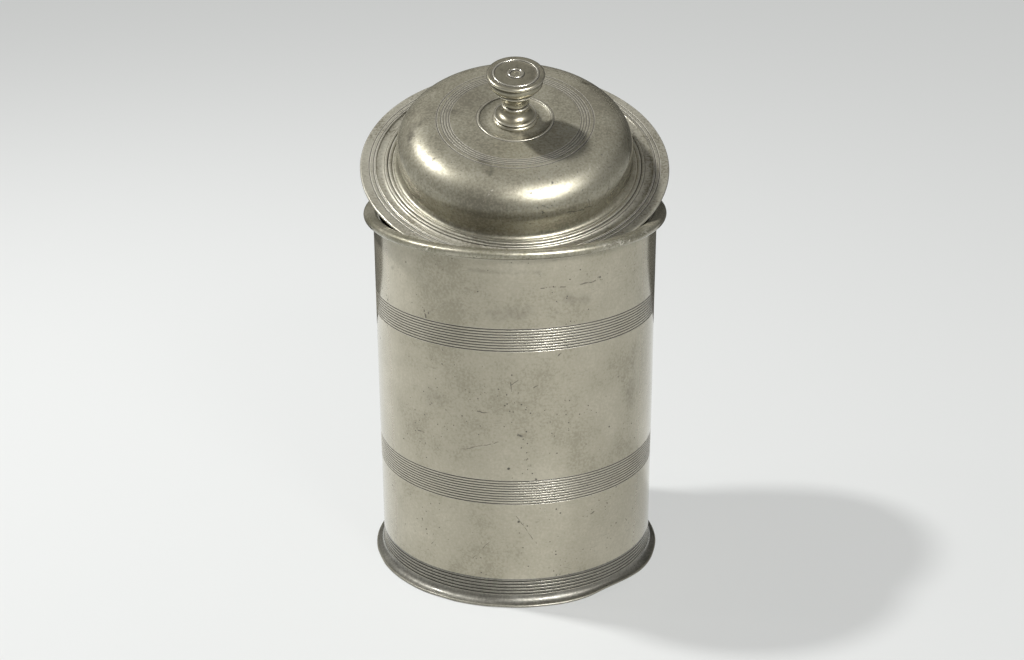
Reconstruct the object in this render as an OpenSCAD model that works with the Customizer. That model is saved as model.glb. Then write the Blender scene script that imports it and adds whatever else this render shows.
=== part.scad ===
// Lidded pewter canister with reeded bands, shown with its lid set down at an angle in the mouth.
// Origin: centre of the flat ring the foot stands on. +Z is up, the low side of the lid faces -Y.

/* [Canister] */
// Outer radius of the drum
body_r = 65; // [55:0.5:80]
// Height to the top of the rim
body_h = 171; // [150:1:210]
// Thickness of the drum wall
wall_t = 2; // [1.8:0.1:2.4]

/* [Rim and foot] */
// How far the rim lip stands out from the drum
lip_out = 4.4; // [3.5:0.1:5.5]
// Height of the rim lip
lip_h = 3.8; // [3.4:0.1:4.4]
// How far the foot stands out from the drum
foot_out = 3.9; // [3:0.1:5]
// Height of the foot moulding
foot_h = 13; // [13:0.5:16]
// Gap under the base plate
base_gap = 5.5; // [4:0.5:7]
// Thickness of the base plate
base_t = 2; // [1.6:0.1:2.4]

/* [Reeding] */
// Height of the top groove of the upper band
upper_band_z = 134.5; // [120:0.5:140]
// Number of grooves in the upper band
upper_band_n = 9; // [5:1:12]
// Height of the top groove of the lower band
lower_band_z = 62.2; // [45:0.1:80]
// Number of grooves in the lower band
lower_band_n = 10; // [5:1:12]
// Distance between grooves in the bands
band_pitch = 1.24; // [1.1:0.02:1.6]
// Height of the top groove of the foot band
foot_band_z = 11.6; // [11.2:0.1:12]
// Number of grooves in the foot band
foot_band_n = 5; // [3:1:5]
// Distance between grooves in the foot
foot_pitch = 1.6; // [1.3:0.1:1.6]
// Depth of the grooves
groove_d = 0.4; // [0.2:0.05:0.5]

/* [Lid] */
// Outer radius of the brim
brim_r = 71.2; // [70:0.1:71.4]
// Thickness of the brim beside the collar
brim_t = 2.2; // [2:0.1:2.4]
// Thickness of the brim at its edge
brim_edge_t = 1.4; // [1.2:0.1:1.6]
// Widest radius of the dome
dome_r = 54.1; // [53.5:0.1:54.4]
// Height of the dome above the brim
dome_h = 25; // [22:0.5:28]
// Thickness of the dome wall
dome_t = 1.8; // [1.6:0.1:2]
// Outer radius of the locating collar
collar_r = 61.5; // [60:0.1:61.8]
// Depth of the locating collar below the top of the brim
collar_depth = 19.5; // [12:0.5:20]
// Thickness of the locating collar
collar_t = 1.8; // [1.5:0.1:2]

/* [Lid rest pose] */
// Tilt of the resting lid, front edge down
lid_tilt = 23.6; // [22:0.1:25]
// Sideways lean of the resting lid, right side down
lid_lean = 0.7; // [0:0.1:1]
// Height of the middle of the brim
lid_z = 189.4; // [189.2:0.1:192]
// Distance of the middle of the brim behind the axis
lid_back = 9.8; // [9.6:0.1:10.4]

/* [Hidden] */
$fn = 128;

arc_steps = 8;
inner_r = body_r - wall_t;
tongue_t = wall_t / 2;          // thin upstand of the drum that the rim lip is rebated over
tongue_z = body_h - 2;          // top of that upstand
shoulder_z = body_h - lip_h - 1.2;
mouth_r = inner_r + 0.5;
spigot_h = 3;                   // upstand of the foot inside the drum
spigot_t = 1.2;
spigot_r = inner_r - spigot_t;
ledge = 1.6;                    // width of the ledge that carries the base plate
solder = 1.5;                   // leg of a solder fillet
edge = 0.8;                     // rounding of cast edges
mouth_round = 1.5;              // rounding of the mouth's inner edge

dome_foot_r = 56.2;             // foot flange of the dome, let into the brim
dome_foot_h = 0.3;
dome_foot_in = 52;
seat_h = -1;                    // step in the brim that the flange stands on
seat_r = 51.6;
shoulder_w = 16.9;              // half axes of the dome's shoulder
shoulder_h = 14.9;
crown = 0.6;                    // rise of the dome from shoulder to middle
ring_r = 16.8;                  // raised ring round the knob
dish_h = 0.8;                   // depth of the dish inside that ring
tenon_r = 3;
tenon_len = 3;

pewter = "#8f8d80";
pewter_dark = "#716f63";
solder_grey = "#a3a196";

// Points on an ellipse from angle a to angle b
function curve(cx, cy, rx, ry, a, b, steps = arc_steps) =
    [for (i = [0:steps]) let (t = a + (b - a) * i / steps) [cx + rx * cos(t), cy + ry * sin(t)]];

// Vee grooves turned into an upright wall, listed from the top down
function reeds(r, top, count, pitch) =
    [for (i = [0:count - 1]) each [
        [r, top - i * pitch + pitch * 0.3],
        [r - groove_d, top - i * pitch],
        [r, top - i * pitch - pitch * 0.3]
    ]];

// One vee groove cut into a level surface, listed from the outside in
function ring_cut(r, h, width, depth) = [[r + width / 2, h], [r, h - depth], [r - width / 2, h]];

// Height of the dome's outer surface at radius r, inside the shoulder
function crown_at(r) = dome_h - crown * pow(r / (dome_r - shoulder_w), 2);

module turned(profile) {
    rotate_extrude() polygon(profile);
}

module fillet_ring(r, z, dr, dz) {
    turned([[r, z], [r + dr, z], [r, z + dz]]);
}

module drum_wall() {
    color(pewter) turned(concat(
        [[inner_r, foot_h], [inner_r, tongue_z], [inner_r + tongue_t, tongue_z],
         [inner_r + tongue_t, shoulder_z], [body_r, shoulder_z]],
        reeds(body_r, upper_band_z, upper_band_n, band_pitch),
        reeds(body_r, lower_band_z, lower_band_n, band_pitch),
        [[body_r, foot_h]]
    ));
}

// Half-round lip, rebated over the drum's thin top edge
module rim_lip() {
    lip_r = body_r + lip_out;
    half = lip_h / 2;
    color(pewter) turned(concat(
        [[mouth_r, tongue_z], [inner_r + tongue_t, tongue_z], [inner_r + tongue_t, shoulder_z],
         [body_r, shoulder_z]],
        curve(body_r + 1, body_h - lip_h - 1, 1, 1, 180, 90),
        curve(lip_r - half, body_h - half, half, half, -90, 90),
        curve(mouth_r + mouth_round, body_h - mouth_round, mouth_round, mouth_round, 90, 180)
    ));
}

// Solder run into the corner under the rim, inside the mouth
module rim_solder() {
    color(solder_grey) turned([
        [inner_r, tongue_z], [inner_r, tongue_z - 0.8], [inner_r - 0.4, tongue_z - 0.3]
    ]);
}

// Flared foot with an inner upstand for the drum and a ledge for the base plate
module foot_ring() {
    foot_r = body_r + foot_out;
    flare_top = foot_band_z - (foot_band_n - 1) * foot_pitch - foot_pitch * 0.3;
    flare_low = 1.3;            // thickness of the foot at its edge
    color(pewter_dark) turned(concat(
        [[spigot_r - ledge, edge], [spigot_r - ledge, base_gap], [spigot_r, base_gap],
         [spigot_r, foot_h + spigot_h], [inner_r, foot_h + spigot_h], [inner_r, foot_h],
         [body_r, foot_h]],
        reeds(body_r, foot_band_z, foot_band_n, foot_pitch),
        curve(foot_r - 0.5, flare_top, foot_out - 0.5, flare_top - flare_low, 180, 270),
        curve(foot_r - flare_low / 2, flare_low / 2, flare_low / 2, flare_low / 2, 90, -90),
        [[spigot_r - ledge + edge, 0]]
    ));
}

module foot_solder() {
    color(solder_grey) fillet_ring(inner_r, foot_h + spigot_h, -spigot_t, solder);
}

// Flat disc that closes the bottom, with a shallow turned ring underneath
module base_plate() {
    ring_cut_r = 30;
    color(pewter_dark) turned([
        [0, base_gap], [ring_cut_r - 1, base_gap], [ring_cut_r, base_gap + groove_d],
        [ring_cut_r + 1, base_gap], [spigot_r, base_gap], [spigot_r, base_gap + base_t],
        [0, base_gap + base_t]
    ]);
}

module base_solder() {
    color(solder_grey) fillet_ring(spigot_r, base_gap + base_t, -solder, solder);
}

// Puts a lid part from the lid's own frame into its resting place
module at_rest() {
    translate([0, lid_back, lid_z]) rotate([lid_tilt, lid_lean, 0]) children();
}

// Broad flange with two incised lines, a cove and two beads round the dome
module lid_brim() {
    cove_out = 64;
    cove_in = 60;
    half = brim_edge_t / 2;
    color(pewter) at_rest() turned(concat(
        [[seat_r, -brim_t], [collar_r - collar_t, -brim_t], [collar_r - collar_t, -brim_t + 0.6],
         [collar_r, -brim_t + 0.6], [collar_r, -brim_t]],
        curve(brim_r - half, -half, half, half, -90, 90),
        ring_cut(66.9, 0, 0.8, 0.35),
        ring_cut(65, 0, 0.8, 0.35),
        curve((cove_out + cove_in) / 2, 0.15, (cove_out - cove_in) / 2, 0.95, 0, -180),
        curve(59.3, 0.15, 0.6, 0.55, 0, 180),
        [[58.5, -0.25]],
        curve(57.5, 0, 0.8, 0.65, 0, 180),
        [[dome_foot_r, -0.25], [dome_foot_r, seat_h], [seat_r, seat_h]]
    ));
}

// Thin raised dome, turned with rings on top and a dish for the knob
module lid_dome() {
    inner_w = shoulder_w - dome_t;
    inner_h = shoulder_h - dome_t;
    side_h = dome_h - crown - shoulder_h;
    shoulder_r = dome_r - shoulder_w;
    dish_floor = crown_at(ring_r) - dish_h;
    color(pewter) at_rest() turned(concat(
        [[dome_foot_in, seat_h], [dome_foot_r, seat_h], [dome_foot_r, dome_foot_h]],
        curve(dome_foot_r - 0.2, 3.3, 2.4, 3, -90, -180),
        curve(shoulder_r, side_h, shoulder_w, shoulder_h, 0, 90, 16),
        ring_cut(35.6, crown_at(35.6), 0.8, 0.3),
        [for (r = [32.6, 31.6, 30.6, 29.6]) each ring_cut(r, crown_at(r), 0.8, 0.3)],
        [[ring_r + 0.9, crown_at(ring_r)], [ring_r + 0.3, crown_at(ring_r) + 0.5],
         [ring_r - 0.3, crown_at(ring_r) + 0.5], [ring_r - 0.9, crown_at(ring_r) - 0.2]],
        [[ring_r - 2.6, dish_floor + 0.4], [ring_r - 3.4, dish_floor], [tenon_r, dish_floor],
         [tenon_r, dish_floor - dome_t], [ring_r - 3.4, dish_floor - dome_t]],
        [[shoulder_r, dome_h - crown - dome_t]],
        curve(shoulder_r, side_h, inner_w, inner_h, 90, 0, 16)
    ));
}

// Locating collar under the brim, let into a shallow groove
module lid_collar() {
    color(pewter_dark) at_rest() turned([
        [collar_r - collar_t, -brim_t + 0.6], [collar_r, -brim_t + 0.6],
        [collar_r, -collar_depth + edge], [collar_r - edge / 2, -collar_depth],
        [collar_r - collar_t + edge / 2, -collar_depth], [collar_r - collar_t, -collar_depth + edge]
    ]);
}

module collar_solder() {
    color(solder_grey) at_rest() fillet_ring(collar_r - collar_t, -brim_t, -solder, -solder);
}

// Solder run inside the lid where the dome's foot meets the brim
module dome_solder() {
    color(solder_grey) at_rest() turned([
        [seat_r, seat_h], [dome_foot_in, seat_h], [dome_foot_in, seat_h + solder]
    ]);
}

// Turned knob: base beads, waisted stem and a beaded head with a ringed top
module knob() {
    foot = crown_at(ring_r) - dish_h;
    top = foot + 25.6;
    color(pewter) at_rest() turned(concat(
        [[0, foot - tenon_len], [tenon_r, foot - tenon_len], [tenon_r, foot], [9.9, foot]],
        curve(9.1, foot + 1.2, 1.2, 0.95, -70, 80),
        [[9.1, foot + 2.3]],
        curve(8.9, foot + 3, 0.9, 0.55, -90, 90),
        curve(9.2, foot + 7.2, 3.7, 3.6, 270, 180),
        [[5.6, foot + 7.6]],
        curve(5.4, foot + 8.5, 0.8, 0.6, -90, 90),
        [[5.9, foot + 9.6], [6.1, foot + 14.2], [9.3, foot + 16.6]],
        curve(9.3, foot + 17.4, 0.9, 0.6, -90, 90),
        [[9.6, foot + 18.3]],
        curve(10.4, foot + 21.2, 1.8, 2.1, -90, 80),
        [[11.8, foot + 23.5]],
        curve(11.6, foot + 24.5, 1.4, 1, -70, 100),
        [[10.4, top - 0.4], [9.9, top], [9.3, top - 0.4], [4.2, top - 0.7], [3.4, top],
         [2.6, top], [1.6, top - 0.8], [0, top - 0.9]]
    ));
}

// Button of solder round the tenon, on the underside of the dome
module knob_solder() {
    underside = crown_at(ring_r) - dish_h - dome_t;
    color(solder_grey) at_rest() turned([
        [tenon_r, underside], [tenon_r, underside - 1], [tenon_r + 0.8, underside - 0.9],
        [tenon_r + 2.4, underside]
    ]);
}

drum_wall();
rim_lip();
rim_solder();
foot_ring();
foot_solder();
base_plate();
base_solder();
lid_brim();
lid_dome();
lid_collar();
collar_solder();
dome_solder();
knob();
knob_solder();
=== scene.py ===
import math
import random
import bpy
import numpy as np
from mathutils import Matrix, Vector


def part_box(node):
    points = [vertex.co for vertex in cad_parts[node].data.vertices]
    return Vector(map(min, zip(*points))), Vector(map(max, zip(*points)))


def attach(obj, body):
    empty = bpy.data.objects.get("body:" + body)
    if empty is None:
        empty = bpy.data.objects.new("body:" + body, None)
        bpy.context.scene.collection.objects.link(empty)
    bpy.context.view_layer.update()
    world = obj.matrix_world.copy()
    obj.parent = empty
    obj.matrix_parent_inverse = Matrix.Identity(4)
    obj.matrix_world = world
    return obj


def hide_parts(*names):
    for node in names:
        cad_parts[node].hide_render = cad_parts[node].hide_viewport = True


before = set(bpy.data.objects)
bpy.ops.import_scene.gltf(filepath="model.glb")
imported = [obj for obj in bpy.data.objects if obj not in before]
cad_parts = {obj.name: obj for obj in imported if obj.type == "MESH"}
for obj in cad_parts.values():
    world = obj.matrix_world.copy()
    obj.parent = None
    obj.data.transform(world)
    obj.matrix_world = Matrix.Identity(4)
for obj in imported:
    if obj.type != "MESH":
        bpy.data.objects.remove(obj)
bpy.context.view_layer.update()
mm = 0.001
collection = bpy.context.scene.collection
bpy.context.scene.view_settings.view_transform = "Standard"


def say(text):
    print("canister:", text)


# the camera and the light

cameraSpot = {
    "place": (-0.0016, -0.7205, 0.3825),
    "down": 20.72,      # degrees below level
    "lean": -0.27,
    "lens": 57.3,
    "sensor": 36.0,
}

studio = {
    "aim": (0.0, 0.0, 0.12),
    # a shine lamp is only mirrored by the metal, a wash lamp only lights it and casts the shadows
    "lamps": {
        "keyShine": {"toward": (-0.655, 0.008, 0.756), "distance": 1.2, "size": 0.11, "power": 10.0},
        "keyWash": {"toward": (-0.50, 0.14, 0.855), "distance": 1.2, "size": 0.10, "power": 25.0},
        "fillShine": {"toward": (0.381, -0.694, 0.61), "distance": 1.3, "size": 0.34, "power": 27.0},
        "fillWash": {"toward": (0.381, -0.694, 0.61), "distance": 1.3, "size": 0.36, "power": 3.0},
    },
    "leftTone": 0.62,
    "rightTone": 1.45,
    "frontTone": 0.15,
    "overheadTone": 0.165,
    "backTone": 0.03,
    "shownTone": 0.58,
}

floorValues = {
    "size": 60.0,
    "color": (0.20, 0.203, 0.20, 1.0),
    "glow": 2.55,       # its own light, which keeps the shadows faint
}

flagValues = {
    "behind": 0.30,     # a dark flag behind the canister, seen only in its reflections
    "half": 0.38,
    "height": 0.45,
    "tone": (0.085, 0.083, 0.074, 1.0),
}


def makeCamera(spot):
    data = bpy.data.cameras.new("view")
    data.lens = spot["lens"]
    data.sensor_width = spot["sensor"]
    data.clip_start = 0.01
    camera = bpy.data.objects.new("view", data)
    collection.objects.link(camera)
    pitch = Matrix.Rotation(math.radians(90 - spot["down"]), 4, "X")
    roll = Matrix.Rotation(math.radians(spot["lean"]), 4, "Z")
    camera.matrix_world = Matrix.Translation(spot["place"]) @ pitch @ roll
    bpy.context.scene.camera = camera


def makeLamp(name, values, aim):
    data = bpy.data.lights.new(name, "AREA")
    data.shape = "DISK"
    data.size = values["size"]
    data.energy = values["power"]
    lamp = bpy.data.objects.new(name, data)
    collection.objects.link(lamp)
    lamp.visible_glossy = name.endswith("Shine")
    lamp.visible_diffuse = name.endswith("Wash")
    toward = Vector(values["toward"]).normalized()
    facing = toward.to_track_quat("Z", "Y").to_matrix().to_4x4()
    lamp.matrix_world = Matrix.Translation(Vector(aim) + toward * values["distance"]) @ facing


# small helpers for building node trees

def setSocket(tree, socket, value):
    if isinstance(value, bpy.types.NodeSocket):
        tree.links.new(value, socket)
    else:
        socket.default_value = value


def addNode(tree, kind, feeds=None, **settings):
    item = tree.nodes.new(kind)
    for key, value in settings.items():
        setattr(item, key, value)
    for socket, value in (feeds or {}).items():
        setSocket(tree, item.inputs[socket], value)
    return item


def calc(tree, operation, first, second=None, third=None, clamp=False):
    feeds = {0: first}
    if second is not None:
        feeds[1] = second
    if third is not None:
        feeds[2] = third
    return addNode(tree, "ShaderNodeMath", feeds, operation=operation, use_clamp=clamp).outputs[0]


def times(tree, first, second, clamp=False):
    return calc(tree, "MULTIPLY", first, second, clamp=clamp)


def minus(tree, first, second):
    return calc(tree, "SUBTRACT", first, second)


def larger(tree, first, second):
    return calc(tree, "MAXIMUM", first, second)


def vectorCalc(tree, operation, first, second=None, scale=None):
    feeds = {0: first}
    if second is not None:
        feeds[1] = second
    if scale is not None:
        feeds["Scale"] = scale
    item = addNode(tree, "ShaderNodeVectorMath", feeds, operation=operation)
    return item.outputs["Value" if operation in ("LENGTH", "DOT_PRODUCT") else "Vector"]


def split(tree, vector):
    return addNode(tree, "ShaderNodeSeparateXYZ", {0: vector}).outputs


def levelVector(tree, x, y):
    return addNode(tree, "ShaderNodeCombineXYZ", {0: x, 1: y, 2: 0.0}).outputs[0]


def ramp(tree, value, low, high, start=0.0, stop=1.0):
    feeds = {"Value": value, "From Min": low, "From Max": high, "To Min": start, "To Max": stop}
    return addNode(tree, "ShaderNodeMapRange", feeds, interpolation_type="SMOOTHSTEP").outputs[0]


def blend(tree, amount, first, second):
    item = addNode(tree, "ShaderNodeMix", data_type="RGBA")
    setSocket(tree, item.inputs[0], amount)
    setSocket(tree, item.inputs[6], first)
    setSocket(tree, item.inputs[7], second)
    return item.outputs[2]


def noise(tree, vector, scale, detail=2.0, rough=0.5):
    feeds = {"Vector": vector, "Scale": scale, "Detail": detail, "Roughness": rough}
    return addNode(tree, "ShaderNodeTexNoise", feeds).outputs[0]


def newGroup(name, kind, inputs, outputs):
    # a socket's kind is the last word of Blender's name for it, such as Float or Vector
    tree = bpy.data.node_groups.new(name, kind)
    for socketName, socketKind, value in inputs:
        fullName = "NodeSocket" + socketKind
        socket = tree.interface.new_socket(socketName, in_out="INPUT", socket_type=fullName)
        if value is not None:
            socket.default_value = value
    for socketName, socketKind in outputs:
        tree.interface.new_socket(socketName, in_out="OUTPUT", socket_type="NodeSocket" + socketKind)
    start = tree.nodes.new("NodeGroupInput")
    end = tree.nodes.new("NodeGroupOutput")
    return tree, start.outputs, end.inputs


def useGroup(tree, group, feeds):
    kind = "GeometryNodeGroup" if tree.bl_idname == "GeometryNodeTree" else "ShaderNodeGroup"
    item = tree.nodes.new(kind)
    item.node_tree = group
    for socket, value in feeds.items():
        setSocket(tree, item.inputs[socket], value)
    return item.outputs


def makeWorld(values):
    world = bpy.data.worlds.new("studio")
    bpy.context.scene.world = world
    world.use_nodes = True
    tree = world.node_tree
    tree.nodes.clear()
    direction = addNode(tree, "ShaderNodeTexCoord").outputs["Generated"]
    parts = split(tree, direction)
    overhead = ramp(tree, parts["Z"], 0.45, 0.95)
    low = ramp(tree, parts["Z"], 0.80, 0.45)
    back = times(tree, ramp(tree, parts["Y"], 0.15, 0.75), low)
    tone = ramp(tree, overhead, 0.0, 1.0, values["frontTone"], values["overheadTone"])
    side = ramp(tree, parts["X"], -0.6, 0.6, values["leftTone"], values["rightTone"])
    tone = times(tree, tone, side)
    lit = addNode(tree, "ShaderNodeMix", {0: back, 2: tone, 3: values["backTone"]}).outputs[0]
    camera = addNode(tree, "ShaderNodeLightPath").outputs["Is Camera Ray"]
    shown = addNode(tree, "ShaderNodeMix", {0: camera, 2: lit, 3: values["shownTone"]}).outputs[0]
    light = addNode(tree, "ShaderNodeBackground", {"Color": shown, "Strength": 1.0})
    addNode(tree, "ShaderNodeOutputWorld", {"Surface": light.outputs[0]})


def flatPlate(name, corners):
    mesh = bpy.data.meshes.new(name)
    mesh.from_pydata(corners, [], [(0, 1, 2, 3)])
    plate = bpy.data.objects.new(name, mesh)
    collection.objects.link(plate)
    return plate


def makeFloor(values):
    half = values["size"] / 2
    corners = [(-half, -half, 0), (half, -half, 0), (half, half, 0), (-half, half, 0)]
    floor = flatPlate("floor", corners)
    material = bpy.data.materials.new("paleFloor")
    material.use_nodes = True
    shader = material.node_tree.nodes["Principled BSDF"]
    shader.inputs["Base Color"].default_value = values["color"]
    shader.inputs["Roughness"].default_value = 0.7
    shader.inputs["Emission Color"].default_value = values["color"]
    shader.inputs["Emission Strength"].default_value = values["glow"]
    floor.data.materials.append(material)


def makeFlag(values):
    half, behind, height = values["half"], values["behind"], values["height"]
    corners = [(-half, behind, 0), (half, behind, 0), (half, behind, height), (-half, behind, height)]
    flag = flatPlate("darkFlag", corners)
    flag.visible_camera = False
    flag.visible_shadow = False
    flag.visible_diffuse = False
    material = bpy.data.materials.new("flagCloth")
    material.use_nodes = True
    tree = material.node_tree
    tree.nodes.clear()
    light = addNode(tree, "ShaderNodeEmission", {"Color": values["tone"]})
    addNode(tree, "ShaderNodeOutputMaterial", {"Surface": light.outputs[0]})
    flag.data.materials.append(material)


makeCamera(cameraSpot)
for name, lampValues in studio["lamps"].items():
    makeLamp(name, lampValues, studio["aim"])
makeWorld(studio)
makeFloor(floorValues)
makeFlag(flagValues)
say("camera, lamps and floor are up")


# outlines are lists of (radius, height) in millimetres, in the order they are turned

def arc(radius, height, wide, tall, start, stop, steps=10):
    angles = [math.radians(start + (stop - start) * i / steps) for i in range(steps + 1)]
    return [(radius + wide * math.cos(a), height + tall * math.sin(a)) for a in angles]


def line(first, last, step):
    count = max(1, round(math.dist(first, last) / step))
    return [tuple(a + (b - a) * i / count for a, b in zip(first, last)) for i in range(count + 1)]


def tidyOutline(points):
    kept = [points[0]]
    for point in points[1:]:
        if math.dist(point, kept[-1]) > 0.004:
            kept.append(point)
    if math.dist(kept[0], kept[-1]) < 0.004:
        kept.pop()
    return kept


def cutBand(first, pitch, lines, width, depth, limit, onTop=0.0):
    # a run of turned lines in mm, down from the first; the limit keeps it to the outer face
    return {"first": first, "pitch": pitch, "lines": lines, "width": width, "depth": depth,
            "onTop": onTop, "limit": limit}


# the turning tree: it sweeps an outline round the axis, cuts the bands of lines and lets the
# wall run a little out of true

bandFields = ("First", "Pitch", "Lines", "Width", "Depth", "On Top", "Limit")


def makeCutLines():
    inputs = [("Geometry", "Geometry", None)] + [(field, "Float", 0.0) for field in bandFields]
    tree, given, result = newGroup("cutLines", "GeometryNodeTree", inputs, [("Geometry", "Geometry")])
    place = addNode(tree, "GeometryNodeInputPosition").outputs[0]
    parts = split(tree, place)
    outward = levelVector(tree, parts[0], parts[1])
    radius = vectorCalc(tree, "LENGTH", outward)
    onTop = given["On Top"]
    along = addNode(tree, "ShaderNodeMix", {0: onTop, 2: parts[2], 3: radius}).outputs[0]
    guard = addNode(tree, "ShaderNodeMix", {0: onTop, 2: radius, 3: parts[2]}).outputs[0]
    below = minus(tree, given["First"], along)
    steps = calc(tree, "ROUND", calc(tree, "DIVIDE", below, given["Pitch"]))
    last = minus(tree, given["Lines"], 1.0)
    nearest = larger(tree, calc(tree, "MINIMUM", steps, last), 0.0)
    middle = minus(tree, given["First"], times(tree, nearest, given["Pitch"]))
    away = calc(tree, "ABSOLUTE", minus(tree, along, middle))
    cut = ramp(tree, away, 0.0, times(tree, given["Width"], 0.5), 1.0, 0.0)
    cut = times(tree, cut, calc(tree, "GREATER_THAN", guard, given["Limit"]))
    uneven = calc(tree, "MULTIPLY_ADD", noise(tree, place, 60.0), 0.5, 0.75)
    depth = times(tree, times(tree, cut, given["Depth"]), uneven)
    inward = vectorCalc(tree, "SCALE", vectorCalc(tree, "NORMALIZE", outward), scale=-1.0)
    aim = addNode(tree, "ShaderNodeMix", data_type="VECTOR")
    setSocket(tree, aim.inputs[0], onTop)
    setSocket(tree, aim.inputs[4], inward)
    setSocket(tree, aim.inputs[5], (0.0, 0.0, -1.0))
    offset = vectorCalc(tree, "SCALE", aim.outputs[1], scale=depth)
    moved = addNode(tree, "GeometryNodeSetPosition", {"Geometry": given["Geometry"], "Offset": offset})
    before = addNode(tree, "GeometryNodeInputNamedAttribute", {"Name": "cut"}, data_type="FLOAT").outputs[0]
    deepest = larger(tree, before, cut)
    feeds = {"Geometry": moved.outputs[0], "Name": "cut", "Value": deepest}
    marked = addNode(tree, "GeometryNodeStoreNamedAttribute", feeds, data_type="FLOAT", domain="POINT")
    setSocket(tree, result[0], marked.outputs[0])
    return tree


cutLines = makeCutLines()


def makeTurning(name, bands):
    inputs = [
        ("Geometry", "Geometry", None),
        ("Segments", "Int", 256),
        ("Middle Radius", "Float", 0.05),
        ("Run Out", "Float", 0.0),
        ("Run Out Scale", "Float", 14.0),
        ("Sharp Angle", "Float", 1.15),
        ("Material", "Material", None),
    ]
    for i in range(bands):
        inputs += [(f"Band {i + 1} {field}", "Float", 0.0) for field in bandFields]
    tree, given, result = newGroup(name, "GeometryNodeTree", inputs, [("Geometry", "Geometry")])
    outline = addNode(tree, "GeometryNodeMeshToCurve", {0: given["Geometry"]}).outputs[0]
    circle = addNode(tree, "GeometryNodeCurvePrimitiveCircle", {
        "Resolution": given["Segments"],
        "Radius": given["Middle Radius"],
    }).outputs[0]
    feeds = {"Curve": circle, "Profile Curve": outline}
    swept = addNode(tree, "GeometryNodeCurveToMesh", feeds).outputs[0]
    closed = addNode(tree, "GeometryNodeMergeByDistance", {"Geometry": swept, "Distance": 2e-6}).outputs[0]
    place = addNode(tree, "GeometryNodeInputPosition").outputs[0]
    level = vectorCalc(tree, "MULTIPLY", place, (1.0, 1.0, 0.0))
    swing = minus(tree, noise(tree, place, given["Run Out Scale"], 1.0), 0.5)
    reach = times(tree, swing, given["Run Out"])
    offset = vectorCalc(tree, "SCALE", vectorCalc(tree, "NORMALIZE", level), scale=reach)
    shape = addNode(tree, "GeometryNodeSetPosition", {"Geometry": closed, "Offset": offset}).outputs[0]
    feeds = {"Geometry": shape, "Name": "cut", "Value": 0.0}
    uncut = addNode(tree, "GeometryNodeStoreNamedAttribute", feeds, data_type="FLOAT", domain="POINT")
    shape = uncut.outputs[0]
    for i in range(bands):
        feeds = {field: given[f"Band {i + 1} {field}"] for field in bandFields}
        shape = useGroup(tree, cutLines, {"Geometry": shape, **feeds})[0]
    feeds = {"Geometry": shape, "Shade Smooth": True}
    smooth = addNode(tree, "GeometryNodeSetShadeSmooth", feeds).outputs[0]
    angle = addNode(tree, "GeometryNodeInputMeshEdgeAngle").outputs[0]
    soft = calc(tree, "LESS_THAN", angle, given["Sharp Angle"])
    feeds = {"Geometry": smooth, "Shade Smooth": soft}
    edged = addNode(tree, "GeometryNodeSetShadeSmooth", feeds, domain="EDGE")
    real = addNode(tree, "GeometryNodeRealizeInstances", {"Geometry": edged.outputs[0]}).outputs[0]
    dressed = addNode(tree, "GeometryNodeSetMaterial", {"Geometry": real, "Material": given["Material"]})
    setSocket(tree, result[0], dressed.outputs[0])
    return tree


def signedVolume(mesh):
    mesh.calc_loop_triangles()
    points = np.empty(len(mesh.vertices) * 3)
    mesh.vertices.foreach_get("co", points)
    corners = np.empty(len(mesh.loop_triangles) * 3, dtype=np.int32)
    mesh.loop_triangles.foreach_get("vertices", corners)
    a, b, c = points.reshape(-1, 3)[corners.reshape(-1, 3)].transpose(1, 0, 2)
    return float(np.einsum("ij,ij->i", a, np.cross(b, c)).sum() / 6)


def storeBend(mesh):
    # how far each point stands out of its neighbours, for wear on edges and for grime and painted shade in
    # corners
    count = len(mesh.vertices)
    points = np.empty(count * 3)
    mesh.vertices.foreach_get("co", points)
    normals = np.empty(count * 3)
    mesh.vertex_normals.foreach_get("vector", normals)
    edges = np.empty(len(mesh.edges) * 2, dtype=np.int32)
    mesh.edges.foreach_get("vertices", edges)
    points, normals, edges = points.reshape(-1, 3), normals.reshape(-1, 3), edges.reshape(-1, 2)
    total, shares = np.zeros(count), np.zeros(count)
    for here, there in ((edges[:, 0], edges[:, 1]), (edges[:, 1], edges[:, 0])):
        gap = points[here] - points[there]
        curve = np.einsum("ij,ij->i", gap, normals[here]) / np.maximum((gap ** 2).sum(axis=1), 1e-12)
        np.add.at(total, here, curve)
        np.add.at(shares, here, 1)
    bend = np.clip(total / np.maximum(shares, 1) * mm, -1, 1)
    mesh.attributes.new("bend", "FLOAT", "POINT").data.foreach_set("value", bend.astype(np.float32))


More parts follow.
